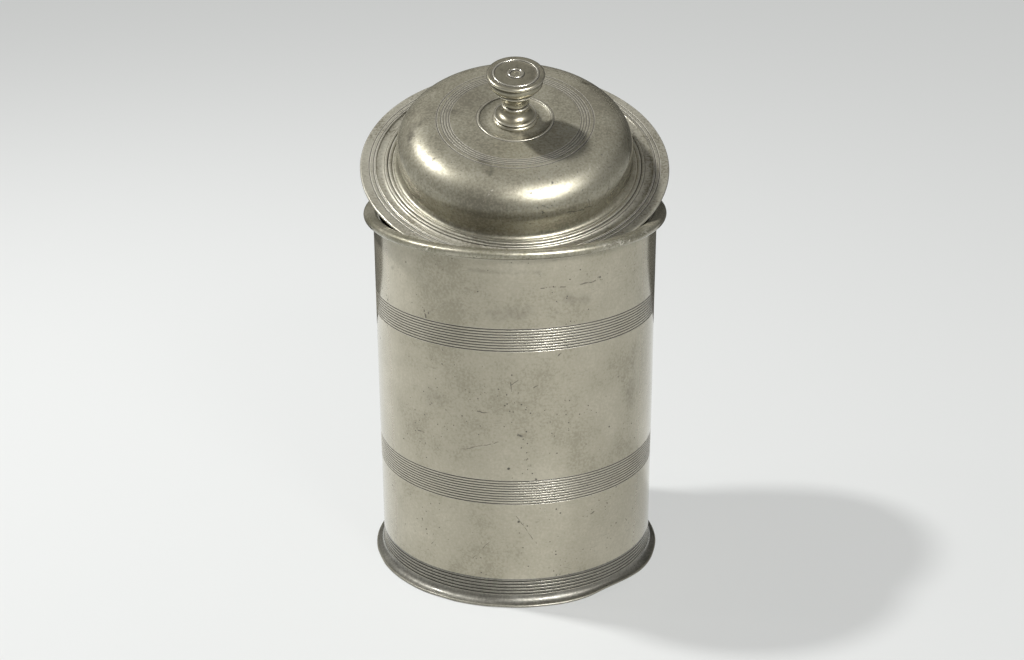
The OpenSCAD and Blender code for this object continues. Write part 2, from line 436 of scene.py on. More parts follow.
def turn(name, outline, values, material):
    # makes one finished mesh from an outline and a piece's dictionary of sizes
    points = tidyOutline(outline)
    radii = [r for r, z in points]
    openEnds = min(radii) < 0.001
    middle = (min(radii) + max(radii)) / 2
    area = sum(a[0] * b[1] - b[0] * a[1] for a, b in zip(points, points[1:] + points[:1]))
    if area > 0:
        points.reverse()
    ends = len(points) - 1
    if openEnds:
        first = next(i for i, p in enumerate(points) if p[0] < 0.001 and points[i - 1][0] < 0.001)
        points = points[first:] + points[:first]
    edges = [(i, i + 1) for i in range(ends)] + ([] if openEnds else [(ends, 0)])
    sketch = bpy.data.meshes.new(name + "_outline")
    sketch.from_pydata([((r - middle) * mm, -z * mm, 0.0) for r, z in points], edges, [])
    blank = bpy.data.objects.new(name + "_blank", sketch)
    collection.objects.link(blank)
    bands = values.get("bands", [])
    tree = makeTurning("turned_" + name, len(bands))
    wanted = {
        "Segments": values["segments"],
        "Middle Radius": middle * mm,
        "Run Out": values.get("runOut", 0.0) * mm,
        "Material": material,
    }
    for i, band in enumerate(bands):
        lengths = [band["first"], band["pitch"], band["lines"], band["width"], band["depth"]]
        scaled = [v if j == 2 else v * mm for j, v in enumerate(lengths)]
        for field, value in zip(bandFields, scaled + [band["onTop"], band["limit"] * mm]):
            wanted[f"Band {i + 1} {field}"] = value
    modifier = blank.modifiers.new("turning", "NODES")
    modifier.node_group = tree
    for item in tree.interface.items_tree:
        if item.in_out == "INPUT" and item.name in wanted:
            modifier[item.identifier] = wanted[item.name]
    blank.update_tag()
    evaluated = blank.evaluated_get(bpy.context.evaluated_depsgraph_get())
    mesh = bpy.data.meshes.new_from_object(evaluated)
    blank.modifiers.remove(modifier)
    bpy.data.objects.remove(blank)
    bpy.data.meshes.remove(sketch)
    if signedVolume(mesh) < 0:
        mesh.flip_normals()
    mesh.name = name
    storeBend(mesh)
    say(f"turned {name}: {len(mesh.polygons)} faces, {signedVolume(mesh) / mm ** 3:.0f} mm3")
    return mesh


def pushPoints(mesh, push):
    # work on a finished mesh: push takes the points in mm and returns how far each goes in
    # towards the axis and up, in mm
    points = np.empty(len(mesh.vertices) * 3)
    mesh.vertices.foreach_get("co", points)
    points = points.reshape(-1, 3)
    spots = points / mm
    radius = np.hypot(spots[:, 0], spots[:, 1])
    angle = np.degrees(np.arctan2(spots[:, 0], -spots[:, 1]))
    inward, upward = push(radius, angle, spots[:, 2])
    shift = np.zeros_like(spots)
    shift[:, 0] = -spots[:, 0] / radius * inward
    shift[:, 1] = -spots[:, 1] / radius * inward
    shift[:, 2] = upward
    points += shift * mm
    mesh.vertices.foreach_set("co", points.ravel())
    mesh.update()


def makePiece(name, job, outline, values, metal, look, push=None):
    # turns a piece, dresses it and hands it over; job is its CAD node, its body and its slot, and the slot
    # is not used
    node, body, slotName = job
    material = makePewter(metal, look)
    mesh = turn(name, outline, values, material)
    if push:
        pushPoints(mesh, push)
    if body == "lid":
        mesh.transform(lidPlace)
    piece = bpy.data.objects.new(mesh.name, mesh)
    collection.objects.link(piece)
    mesh.materials.clear()
    mesh.materials.append(material)
    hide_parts(node)
    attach(piece, body)


# shader groups, each used by several of the metals

def makeUnroll():
    # lays the wall out flat: millimetres round from the front, millimetres up
    tree, given, result = newGroup("unroll", "ShaderNodeTree", [
        ("Vector", "Vector", None),
        ("Radius", "Float", 0.065),
    ], [("Flat", "Vector"), ("Radius", "Float"), ("Across", "Float")])
    parts = split(tree, given["Vector"])
    front = times(tree, parts[1], -1.0)
    angle = calc(tree, "ARCTAN2", parts[0], front)
    around = times(tree, angle, given["Radius"])
    flat = levelVector(tree, around, parts[2])
    level = levelVector(tree, parts[0], parts[1])
    radius = vectorCalc(tree, "LENGTH", level)
    setSocket(tree, result["Flat"], flat)
    setSocket(tree, result["Radius"], radius)
    setSocket(tree, result["Across"], minus(tree, radius, parts[2]))
    return tree


def makeMottle():
    # patina in three tones, in broad clouds with a fine speckle over them
    tree, given, result = newGroup("mottle", "ShaderNodeTree", [
        ("Vector", "Vector", None),
        ("Light", "Color", (0.5, 0.5, 0.5, 1)),
        ("Middle", "Color", (0.4, 0.4, 0.4, 1)),
        ("Dark", "Color", (0.3, 0.3, 0.3, 1)),
        ("Clouds", "Float", 28.0),
        ("Speckle", "Float", 1.0),
    ], [("Color", "Color"), ("Dullness", "Float")])
    clouds = noise(tree, given["Vector"], given["Clouds"], 4.0, 0.62)
    fine = noise(tree, given["Vector"], 900.0, 3.0, 0.6)
    grain = times(tree, minus(tree, fine, 0.5), given["Speckle"])
    mixed = calc(tree, "MULTIPLY_ADD", grain, 0.85, clouds)
    low = ramp(tree, mixed, 0.30, 0.50)
    high = ramp(tree, mixed, 0.48, 0.72)
    color = blend(tree, high, blend(tree, low, given["Dark"], given["Middle"]), given["Light"])
    setSocket(tree, result["Color"], color)
    setSocket(tree, result["Dullness"], minus(tree, 1.0, mixed))
    return tree


def makePits():
    # little holes of mixed size, thick in some places and missing in others
    tree, given, result = newGroup("pits", "ShaderNodeTree", [
        ("Vector", "Vector", None),
        ("Spacing", "Float", 400.0),
        ("Size", "Float", 0.2),
        ("Share", "Float", 0.3),
        ("Patches", "Float", 30.0),
    ], [("Mask", "Float")])
    shake = addNode(tree, "ShaderNodeTexNoise", {"Vector": given["Vector"], "Scale": 1400.0, "Detail": 1.0})
    jitter = vectorCalc(tree, "SUBTRACT", shake.outputs[1], (0.5, 0.5, 0.5))
    jitter = vectorCalc(tree, "SCALE", jitter, scale=0.0005)
    spot = vectorCalc(tree, "ADD", given["Vector"], jitter)
    cells = addNode(tree, "ShaderNodeTexVoronoi", {"Vector": spot, "Scale": given["Spacing"]})
    chance = addNode(tree, "ShaderNodeSeparateColor", {0: cells.outputs["Color"]}).outputs
    patch = ramp(tree, noise(tree, given["Vector"], given["Patches"], 2.0), 0.40, 0.66)
    share = times(tree, given["Share"], patch)
    there = calc(tree, "LESS_THAN", chance[0], share)
    size = times(tree, calc(tree, "MULTIPLY_ADD", chance[1], 0.8, 0.35), given["Size"])
    inner = times(tree, size, 0.4)
    hole = ramp(tree, cells.outputs["Distance"], inner, size, 1.0, 0.0)
    setSocket(tree, result["Mask"], times(tree, hole, there))
    return tree


def makeScratches():
    # hairline scratches in four directions over a flattened surface
    tree, given, result = newGroup("scratches", "ShaderNodeTree", [
        ("Flat", "Vector", None),
        ("Thin", "Float", 0.02),
        ("Share", "Float", 0.5),
    ], [("Mask", "Float")])
    total = None
    for i, (turned, length, width) in enumerate(((0.12, 60.0, 700.0), (1.35, 80.0, 800.0),
                                                 (-0.75, 90.0, 760.0), (0.55, 75.0, 900.0))):
        spin = addNode(tree, "ShaderNodeMapping", {
            "Vector": given["Flat"],
            "Location": (0.13 * i, 0.29 * i, 0.0),
            "Rotation": (0.0, 0.0, turned),
            "Scale": (length, width, 1.0),
        }).outputs[0]
        streak = noise(tree, spin, 1.0, 0.0)
        away = calc(tree, "ABSOLUTE", minus(tree, streak, 0.5))
        thin = ramp(tree, away, 0.0, given["Thin"], 1.0, 0.0)
        where = noise(tree, vectorCalc(tree, "ADD", given["Flat"], (0.7 * i, 0.4, 0.0)), 95.0, 2.0)
        edge = minus(tree, 0.82, times(tree, given["Share"], 0.4))
        kept = ramp(tree, where, edge, calc(tree, "ADD", edge, 0.06))
        mark = times(tree, thin, kept)
        total = mark if total is None else larger(tree, total, mark)
    setSocket(tree, result["Mask"], total)
    return tree


def makeToolMarks():
    # the faint lines a turning tool leaves
    tree, given, result = newGroup("toolMarks", "ShaderNodeTree", [
        ("Across", "Float", 0.0),
        ("Scale", "Float", 2500.0),
    ], [("Height", "Float")])
    steps = times(tree, given["Across"], given["Scale"])
    feeds = {"W": steps, "Scale": 1.0, "Detail": 3.0, "Roughness": 0.7}
    lines = addNode(tree, "ShaderNodeTexNoise", feeds, noise_dimensions="1D").outputs[0]
    setSocket(tree, result["Height"], lines)
    return tree


def makeWearAndShade():
    # worn on edges; darker in corners and cut lines, partly grime and partly painted shade
    tree, given, result = newGroup("wearAndShade", "ShaderNodeTree", [
        ("Vector", "Vector", None),
        ("Bend", "Float", 0.0),
        ("Cut", "Float", 0.0),
        ("Wear", "Float", 1.0),
        ("Grime And Shade", "Float", 1.0),
    ], [("Worn", "Float"), ("Grimy And Shaded", "Float")])
    rough = noise(tree, given["Vector"], 220.0, 3.0, 0.6)
    patchy = noise(tree, given["Vector"], 45.0, 2.0)
    spread = calc(tree, "MULTIPLY_ADD", rough, 0.7, times(tree, patchy, 0.5))
    out = ramp(tree, given["Bend"], 0.10, 0.75)
    worn = times(tree, times(tree, out, spread), given["Wear"], clamp=True)
    # hollows and cut lines darken here: grime together with painted shade
    sunk = ramp(tree, times(tree, given["Bend"], -1.0), 0.04, 0.55)
    lines = ramp(tree, given["Cut"], 0.05, 0.38)
    deep = larger(tree, sunk, lines)
    keep = calc(tree, "MULTIPLY_ADD", spread, 0.55, 0.62)
    grimyAndShaded = times(tree, times(tree, deep, keep), given["Grime And Shade"], clamp=True)
    setSocket(tree, result["Worn"], worn)
    setSocket(tree, result["Grimy And Shaded"], grimyAndShaded)
    return tree


def makeMarkLine():
    # one long scratch, from a start along a direction
    tree, given, result = newGroup("markLine", "ShaderNodeTree", [
        ("Flat", "Vector", None),
        ("Start", "Vector", None),
        ("Direction", "Vector", None),
        ("Length", "Float", 0.01),
        ("Width", "Float", 0.0002),
    ], [("Mask", "Float")])
    gap = vectorCalc(tree, "SUBTRACT", given["Flat"], given["Start"])
    along = vectorCalc(tree, "DOT_PRODUCT", gap, given["Direction"])
    held = larger(tree, calc(tree, "MINIMUM", along, given["Length"]), 0.0)
    foot = vectorCalc(tree, "SCALE", given["Direction"], scale=held)
    away = vectorCalc(tree, "LENGTH", vectorCalc(tree, "SUBTRACT", gap, foot))
    setSocket(tree, result["Mask"], ramp(tree, away, 0.0, given["Width"], 1.0, 0.0))
    return tree


unroll = makeUnroll()
mottle = makeMottle()
pits = makePits()
scratches = makeScratches()
toolMarks = makeToolMarks()
wearAndShade = makeWearAndShade()
markLine = makeMarkLine()
say("geometry and shader groups are built")


def markAt(around, height, length, turned=0.0, width=0.25):
    # a scratch or stain: millimetres on the flattened surface, turned in degrees
    return {"start": (around, height), "length": length, "turned": turned, "width": width}


def strewMarks(values):
    # small scratches and dots strewn at random, the short ones the most common
    draw = random.Random(values["seed"])
    marks = []
    for _ in range(values["count"]):
        around, height = draw.uniform(*values["around"]), draw.uniform(*values["height"])
        length = values["longest"] * draw.random() ** 2
        marks.append(markAt(around, height, length, draw.uniform(-90, 90), draw.uniform(*values["width"])))
    return marks


def addMarks(tree, flat, marks):
    total = 0.0
    for mark in marks:
        angle = math.radians(mark["turned"])
        mask = useGroup(tree, markLine, {
            "Flat": flat,
            "Start": (mark["start"][0] * mm, mark["start"][1] * mm, 0.0),
            "Direction": (math.cos(angle), math.sin(angle), 0.0),
            "Length": mark["length"] * mm,
            "Width": mark["width"] * mm,
        })[0]
        total = larger(tree, total, mask)
    return total


surface = {
    # how strongly each fault darkens the metal
    "holeTone": 0.85,
    "markTone": 0.8,
    "scratchTone": 0.22,
    # how dark and bright places change the finish
    "darkRough": 0.35,
    "brightRough": -0.08,
    "darkMetal": -0.55,
    "edgeGloss": 0.30,      # roughness left where the surface is seen edge on
    # heights in mm
    "grain": 0.006,
    "holes": -0.05,
    "scratches": -0.010,
    "marks": -0.04,
}


def makePewter(name, look):
    material = bpy.data.materials.new(name)
    material.use_nodes = True
    tree = material.node_tree
    shader = tree.nodes["Principled BSDF"]
    vector = addNode(tree, "ShaderNodeTexCoord").outputs["Object"]
    if look["onLid"]:
        level = lidPlace.inverted()
        vector = addNode(tree, "ShaderNodeMapping", {
            "Vector": vector,
            "Location": level.to_translation(),
            "Rotation": level.to_euler("XYZ"),
        }).outputs[0]
    unrolled = useGroup(tree, unroll, {"Vector": vector})
    flat = unrolled["Flat"]
    if look["onLid"]:
        flat = levelVector(tree, split(tree, flat)[0], unrolled["Across"])
    feeds = {"Vector": vector, "Scale": 240.0, "Detail": 2.0}
    wobble = addNode(tree, "ShaderNodeTexNoise", feeds).outputs[1]
    wobble = vectorCalc(tree, "SCALE", vectorCalc(tree, "SUBTRACT", wobble, (0.5, 0.5, 0.5)), scale=0.0018)
    shaken = vectorCalc(tree, "MULTIPLY", vectorCalc(tree, "ADD", flat, wobble), (1.0, 1.0, 0.0))

    bend = addNode(tree, "ShaderNodeAttribute", attribute_name="bend").outputs["Fac"]
    cut = addNode(tree, "ShaderNodeAttribute", attribute_name="cut").outputs["Fac"]
    wornAndShaded = useGroup(tree, wearAndShade, {
        "Vector": vector, "Bend": bend, "Cut": cut, "Wear": look["wear"], "Grime And Shade": look["grimeAndShade"],
    })
    patina = useGroup(tree, mottle, {
        "Vector": vector, "Light": look["light"], "Middle": look["middle"], "Dark": look["dark"],
        "Clouds": look["clouds"], "Speckle": look["speckle"],
    })
    small = useGroup(tree, pits, {
        "Vector": vector, "Spacing": 480.0, "Size": 0.20, "Share": look["pitShare"], "Patches": 42.0,
    })[0]
    large = useGroup(tree, pits, {
        "Vector": vector, "Spacing": 170.0, "Size": 0.13, "Share": look["pitShare"] * 0.7, "Patches": 24.0,
    })[0]
    holes = larger(tree, small, large)
    fine = useGroup(tree, scratches, {"Flat": flat, "Thin": 0.025, "Share": look["scratchShare"]})[0]
    lines = useGroup(tree, toolMarks, {"Across": unrolled["Across"]})[0]
    lines = times(tree, lines, ramp(tree, cut, 0.0, 0.30, 1.0, 0.0))

    color = patina["Color"]
    stains = 0.0
    if look["stains"]:
        blot = ramp(tree, noise(tree, vector, 150.0, 5.0, 0.68), 0.30, 0.72)
        stains = times(tree, addMarks(tree, shaken, look["stains"]), blot)
        color = blend(tree, times(tree, stains, look["stainStrength"]), color, look["stainTone"])
    marks = 0.0
    if look["marks"]:
        broken = ramp(tree, noise(tree, vector, 420.0, 3.0, 0.6), 0.42, 0.54)
        marks = times(tree, addMarks(tree, shaken, look["marks"]), broken)
    dark = times(tree, holes, surface["holeTone"])
    dark = larger(tree, dark, times(tree, marks, surface["markTone"]))
    dark = larger(tree, dark, times(tree, fine, surface["scratchTone"]))
    # grime and painted shade in hollows and cut lines join the dark faults here
    dark = larger(tree, dark, wornAndShaded["Grimy And Shaded"])
    color = blend(tree, dark, color, look["grimeAndShadeTone"])
    bright = wornAndShaded["Worn"]
    if look["glints"]:
        chips = ramp(tree, noise(tree, vector, 380.0, 4.0, 0.7), 0.52, 0.58)
        struck = times(tree, addMarks(tree, shaken, look["glints"]), chips)
        bright = larger(tree, bright, struck)
    color = blend(tree, bright, color, look["wornTone"])
    if look["dullInside"]:
        inside = ramp(tree, unrolled["Radius"], look["dullInside"] * mm + 0.0006, look["dullInside"] * mm)
        color = blend(tree, inside, color, look["dark"])

    rough = calc(tree, "MULTIPLY_ADD", patina["Dullness"], look["roughSpread"], look["rough"])
    rough = calc(tree, "MULTIPLY_ADD", dark, surface["darkRough"], rough)
    rough = calc(tree, "MULTIPLY_ADD", bright, surface["brightRough"], rough, clamp=True)
    facing = addNode(tree, "ShaderNodeLayerWeight", {"Blend": 0.5}).outputs["Facing"]
    rough = times(tree, rough, ramp(tree, facing, 0.46, 0.76, 1.0, surface["edgeGloss"]))
    metal = calc(tree, "MULTIPLY_ADD", dark, surface["darkMetal"], look["metal"], clamp=True)
    coat = times(tree, minus(tree, 1.0, dark), look["coat"])

    waves = noise(tree, vector, look["waveScale"], 1.0)
    grain = noise(tree, vector, 1500.0, 2.0)
    height = times(tree, waves, look["waves"])
    layers = [(lines, look["turning"]), (grain, surface["grain"]), (holes, surface["holes"])]
    layers += [(fine, surface["scratches"])] + ([(marks, surface["marks"])] if look["marks"] else [])
    for layer, tall in layers:
        height = calc(tree, "MULTIPLY_ADD", layer, tall, height)
    bump = addNode(tree, "ShaderNodeBump", {"Strength": 1.0, "Distance": mm, "Height": height}).outputs[0]

    setSocket(tree, shader.inputs["Base Color"], color)
    setSocket(tree, shader.inputs["Roughness"], rough)
    setSocket(tree, shader.inputs["Metallic"], metal)
    setSocket(tree, shader.inputs["Coat Weight"], coat)
    setSocket(tree, shader.inputs["Coat Roughness"], look["coatRough"])
    setSocket(tree, shader.inputs["Normal"], bump)
    return material


lidRest = {"tilt": 23.6, "lean": 0.7, "height": 189.4, "back": 9.8}
lidPlace = (Matrix.Translation((0.0, lidRest["back"] * mm, lidRest["height"] * mm))
            @ Matrix.Rotation(math.radians(lidRest["lean"]), 4, "Y")
            @ Matrix.Rotation(math.radians(lidRest["tilt"]), 4, "X"))

plainLook = {
    "light": (0.54, 0.503, 0.40, 1),
    "middle": (0.46, 0.427, 0.332, 1),
    "dark": (0.36, 0.333, 0.25, 1),
    # the dark tone for pits, scratches, grime and the painted shade in hollows and cut lines
    "grimeAndShadeTone": (0.050, 0.045, 0.036, 1),
    "wornTone": (0.78, 0.75, 0.65, 1),
    "stainTone": (0.16, 0.145, 0.11, 1),
    "onLid": False,
    "clouds": 26.0,
    "speckle": 0.6,
    "rough": 0.35,
    "roughSpread": 0.15,
    "metal": 0.66,
    "coat": 0.30,
    "coatRough": 0.14,
    "wear": 0.8,
    "grimeAndShade": 0.9,
    "pitShare": 0.85,
    "scratchShare": 0.50,
    "waves": 0.12,
    "waveScale": 22.0,
    "turning": 0.006,
    "dullInside": 0.0,
    "stainStrength": 0.42,
    "marks": [],
    "glints": [],
    "stains": [],
}


def across(node):
    low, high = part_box(node)
    return round((high[0] - low[0]) / 2 / mm, 2)


def topOf(node):
    return round(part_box(node)[1][2] / mm, 2)


def bottomOf(node):
    return round(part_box(node)[0][2] / mm, 2)


wallOuter = across("drum_wall")
wallInner = wallOuter - 2
rimTop = topOf("rim_lip")
footTop = bottomOf("drum_wall")


def wallDown(radius, top, bottom, bands, plainStep=5.0, rowsPerLine=10):
    # the straight wall, with close rows only where lines are cut
    points, level = [], top
    for band in bands:
        half = band["pitch"] / 2
        start = band["first"] + half
        stop = band["first"] - (band["lines"] - 1) * band["pitch"] - half
        points += line((radius, level), (radius, start), plainStep)
        points += line((radius, start), (radius, stop), band["pitch"] / rowsPerLine)
        level = stop
    return points + line((radius, level), (radius, bottom), plainStep)


drumValues = {
    "segments": 256,
    "runOut": 0.5,
    "bands": [
        cutBand(134.5, 1.24, 9, 0.80, 0.28, 64.4),
        cutBand(62.2, 1.24, 10, 0.80, 0.28, 64.4),
    ],
    "scratches": {
        "long": markAt(-25, 76, 18, 18, 0.22),
        "falling": markAt(0, 45, 17, -57, 0.24),
        "rising": markAt(-20, 22, 13, 52, 0.2),
        "veeLeft": markAt(-2, 106, 4, 95, 0.3),
        "veeRight": markAt(-2, 109, 4, 35, 0.3),
        "gouge": markAt(1, 85, 2, -20, 0.8),
        "underRim": markAt(11, 153, 11, 0, 0.4),
        "underRimRight": markAt(28, 153, 12, 2, 0.45),
    },
    "strewn": {"seed": 11, "count": 44, "around": (-204, 204), "height": (14, 160), "longest": 8,
               "width": (0.2, 0.6)},
    "stains": [
        markAt(-45, 155, 1, 80, 1.8), markAt(-65, 153, 1, 0, 1.6), markAt(-10, 141, 16, 4, 5),
        markAt(20, 148, 12, -12, 4), markAt(-40, 96, 3, 80, 7), markAt(60, 90, 22, 85, 6),
        markAt(-20, 161, 30, -1, 1.6),
    ],
    "glints": [markAt(-71, 67, 5, -20, 0.3), markAt(8, 62, 2, 3, 0.5), markAt(44, 133, 1, 0, 0.8)],
}


def makeDrumWall(values):
    tongue, shoulder = wallInner + 1, rimTop - 5
    outline = line((wallInner, footTop), (wallInner, rimTop - 2), 12.0)
    outline += [(tongue, rimTop - 2), (tongue, shoulder), (wallOuter, shoulder)]
    outline += wallDown(wallOuter, shoulder, footTop, values["bands"])
    marks = list(values["scratches"].values()) + strewMarks(values["strewn"])
    look = {**plainLook, "marks": marks, "stains": values["stains"], "glints": values["glints"],
            "dullInside": wallInner + 0.3}
    makePiece("drumWall", ("drum_wall", "canister", "pewter_body"), outline, values, "drumPewter", look)


rimValues = {
    "segments": 512,
    "runOut": 0.5,
    "lip": 3.8,
    "mouthRound": 1.5,
    # nicks along the bruised stretch: degrees from the front, depth, half width in degrees
    "nicks": [(35, 0.06, 1.1), (40, 0.12, 2.2), (47, 0.07, 1.4), (52, 0.14, 2.8), (61, 0.12, 2.4),
              (-58, 0.16, 1.0), (-31, 0.10, 0.9), (118, 0.2, 1.2)],
    "glints": [markAt(38, 169.6, 14, 0, 1.7), markAt(60, 169.6, 9, 0, 1.8), markAt(-66, 169, 2, 0, 1.4),
               markAt(-40, 169.5, 3, 0, 1.0)],
    "stains": [markAt(-84, 169, 50, 0, 3.5), markAt(12, 168, 18, 0, 2.0), markAt(120, 169, 60, 0, 3.0)],
}


def makeRimLip(values):
    lipRadius, half, tall = across("rim_lip"), values["lip"] / 2, values["lip"]
    mouth, soft = wallInner + 0.5, values["mouthRound"]
    tongue, shoulder = wallInner + 1, rimTop - 5
    outline = [(mouth, rimTop - 2), (tongue, rimTop - 2), (tongue, shoulder), (wallOuter, shoulder),
               (wallOuter + 0.25, shoulder + 0.05), (wallOuter + 0.32, shoulder + 0.25)]
    outline += arc(wallOuter + 1, rimTop - tall - 1, 0.75, 1, 180, 95, 6)
    outline += arc(lipRadius - half, rimTop - half, half, half, -90, 90, 22)
    outline += line((lipRadius - half, rimTop), (mouth + soft, rimTop), 0.6)
    outline += arc(mouth + soft, rimTop - soft, soft, soft, 90, 180, 8)
    look = {**plainLook, "glints": values["glints"], "stains": values["stains"], "wear": 0.9,
            "light": (0.43, 0.405, 0.32, 1), "middle": (0.33, 0.312, 0.238, 1),
            "dark": (0.24, 0.225, 0.162, 1), "stainTone": (0.19, 0.18, 0.12, 1),
            "speckle": 1.3, "pitShare": 1.0, "clouds": 60.0, "turning": 0.004}

    def strike(radius, angle, height):
        lip = np.clip((height - rimTop + 3) / 2, 0, 1)
        outer = np.clip((radius - (wallOuter + 1.0)) / 2.5, 0, 1) * lip
        depth = sum(deep * np.exp(-((angle - middle) / wide) ** 2)
                    for middle, deep, wide in values["nicks"])
        return depth * outer, -0.7 * depth * outer

    makePiece("rimLip", ("rim_lip", "canister", "pewter_body"), outline, values, "rimPewter", look, strike)


footValues = {
    "segments": 448,
    "runOut": 0.5,
    "bands": [
        cutBand(11.6, 1.6, 5, 0.95, 0.36, 64.2),
    ],
    "ledge": 60.2,
    "spigot": 61.8,
    "edge": 1.3,
    "bruise": {"middle": 42, "wide": 13, "lift": 1.3, "pull": 0.9},
    "glints": [markAt(37, 8.7, 7, 0, 0.35), markAt(-64.5, 4.4, 0.5, 0, 0.9)],
    "stains": [markAt(-60, 3.6, 130, 0, 2.2)],
}


def makeFootRing(values):
    radius, edge = across("foot_ring"), values["edge"]
    band = values["bands"][0]
    flareTop = band["first"] - (band["lines"] - 1) * band["pitch"] - band["pitch"] * 0.3
    ledge, spigot = values["ledge"], values["spigot"]
    outline = [(ledge, 0.8), (ledge, 5.5), (spigot, 5.5), (spigot, footTop + 3), (wallInner, footTop + 3),
               (wallInner, footTop), (wallOuter, footTop)]
    outline += line((wallOuter, footTop), (wallOuter, flareTop), band["pitch"] / 12)
    outline += arc(radius - 0.5, flareTop, radius - 0.5 - wallOuter, flareTop - edge, 180, 270, 18)
    outline += arc(radius - edge / 2, edge / 2, edge / 2, edge / 2, 90, -90, 12)
    outline += line((radius - edge / 2, 0), (ledge + 0.8, 0), 2.0)
    look = {**plainLook, "light": (0.27, 0.262, 0.227, 1), "middle": (0.205, 0.198, 0.17, 1), "rough": 0.38,
            "dark": (0.14, 0.135, 0.115, 1), "wornTone": (0.52, 0.49, 0.38, 1), "wear": 1.0, "grimeAndShade": 1.0,
            "glints": values["glints"], "stains": values["stains"], "speckle": 1.2, "clouds": 50.0,
            "dullInside": wallInner + 0.3, "pitShare": 0.4}
    bruise = values["bruise"]

    def knock(radius, angle, height):
        low = np.clip(1 - height / 5.5, 0, 1) * np.clip((radius - wallOuter + 1.5) / 4, 0, 1)
        hit = np.exp(-((angle - bruise["middle"]) / bruise["wide"]) ** 2)
        ripple = 0.10 * (np.sin(np.radians(angle) * 9 + 1) + np.sin(np.radians(angle) * 17 + 4))
        ripple = np.maximum(ripple, 0)
        return low * (bruise["pull"] * hit + ripple), low * (bruise["lift"] * hit + ripple * 0.8)

    job = ("foot_ring", "canister", "pewter_foot")
    makePiece("footRing", job, outline, values, "footPewter", look, knock)


insideLook = {**plainLook, "light": (0.36, 0.35, 0.30, 1), "middle": (0.28, 0.27, 0.225, 1),
              "dark": (0.20, 0.19, 0.155, 1), "rough": 0.38, "coat": 0.12, "clouds": 40.0, "wear": 0.5}

plateValues = {"segments": 192, "ringRadius": 30.0, "thick": 2.0}


def makeBasePlate(values):
    low, rim, ring = bottomOf("base_plate"), across("base_plate"), values["ringRadius"]
    high = low + values["thick"]
    outline = line((0, low), (ring - 1, low), 4.0) + arc(ring, low, 1.0, 0.4, 180, 0, 8)
    outline += line((ring + 1, low), (rim, low), 4.0)
    outline += line((rim, high), (0, high), 4.0)
    job = ("base_plate", "canister", "pewter_inside")
    makePiece("basePlate", job, outline, values, "platePewter", insideLook)


solderLook = {**plainLook, "light": (0.62, 0.61, 0.56, 1), "middle": (0.50, 0.49, 0.44, 1),
              "dark": (0.34, 0.33, 0.29, 1), "rough": 0.42, "coat": 0.0, "clouds": 180.0, "waves": 0.22,
              "waveScale": 160.0, "turning": 0.0, "scratchShare": 0.1}


def makeSolder(name, node, body, corner, legs):
    # a run of solder in a corner, a little hollow between its two feet
    onLid = body == "lid"
    radius, height = corner
    middle = (radius + legs[0] * 0.38, height + legs[1] * 0.38)
    outline = [(radius, height), (radius + legs[0], height), middle, (radius, height + legs[1])]
    values = {"segments": 192, "runOut": 0.1 if onLid else 0.5}
    look = {**solderLook, "onLid": onLid}
    makePiece(name, (node, body, "solder"), outline, values, name + "Metal", look)


makeDrumWall(drumValues)
makeRimLip(rimValues)
makeFootRing(footValues)
makeBasePlate(plateValues)
plateEdge = (footValues["spigot"], topOf("base_plate"))
makeSolder("rimSolder", "rim_solder", "canister", (wallInner, rimTop - 2), (-0.5, -0.8))
makeSolder("footSolder", "foot_solder", "canister", (wallInner, footTop + 3), (-1.2, 1.5))
makeSolder("baseSolder", "base_solder", "canister", plateEdge, (-1.5, 1.5))
say("canister is made")


lidLook = {**plainLook, "onLid": True, "light": (0.39, 0.368, 0.29, 1), "middle": (0.30, 0.282, 0.213, 1),
           "dark": (0.215, 0.198, 0.15, 1), "rough": 0.33, "coat": 0.25, "coatRough": 0.14, "waves": 0.15,
           "waveScale": 38.0, "metal": 0.60, "stainStrength": 1.0, "stainTone": (0.07, 0.062, 0.045, 1),
           "speckle": 1.3, "clouds": 36.0}

brimValues = {
    "segments": 384,
    "runOut": 0.25,
    "radius": 71.2,
    "thick": 2.2,
    "edge": 1.4,
    "collar": 61.5,
    "seat": 51.6,
    "foot": 56.2,
    "lines": (67.6, 64.3),      # the stretch of the flat that holds the cut lines
    "cove": {"middle": 62, "wide": 2, "deep": 0.95},
    "bands": [
        cutBand(66.9, 1.9, 2, 0.8, 0.2, -0.3, onTop=1.0),
    ],
}


def makeLidBrim(values):
    thick, half, groove = values["thick"], values["edge"] / 2, values["collar"] - 1.8
    edgeRadius = values["radius"] - half
    outline = [(values["seat"], -thick), (groove, -thick), (groove, -thick + 0.6),
               (values["collar"], -thick + 0.6), (values["collar"], -thick)]
    outline += arc(edgeRadius, -half, half, half, -90, 90, 16)
    (rowsFrom, rowsTo), cove = values["lines"], values["cove"]
    outline += line((edgeRadius, 0), (rowsFrom, 0), 0.5) + line((rowsFrom, 0), (rowsTo, 0), 0.1)
    outline += [(rowsTo - 0.15, 0.08)] + arc(cove["middle"], 0.15, cove["wide"], cove["deep"], 0, -180, 26)
    outline += arc(59.3, 0.05, 0.6, 0.38, 0, 180, 12) + [(58.5, -0.25)]
    outline += arc(57.5, 0, 0.8, 0.65, 0, 180, 14) + [(56.45, -0.2), (values["foot"], -0.3)]
    outline += [(values["foot"], -1), (values["seat"], -1)]
    look = {**lidLook, "light": (0.47, 0.45, 0.37, 1), "middle": (0.39, 0.37, 0.30, 1), "speckle": 1.2,
            "wear": 1.0, "pitShare": 0.4, "scratchShare": 0.2}
    makePiece("lidBrim", ("lid_brim", "lid", "pewter_lid"), outline, values, "brimPewter", look)


knobValues = {"segments": 160, "tall": 25.6, "tenon": 3.0}

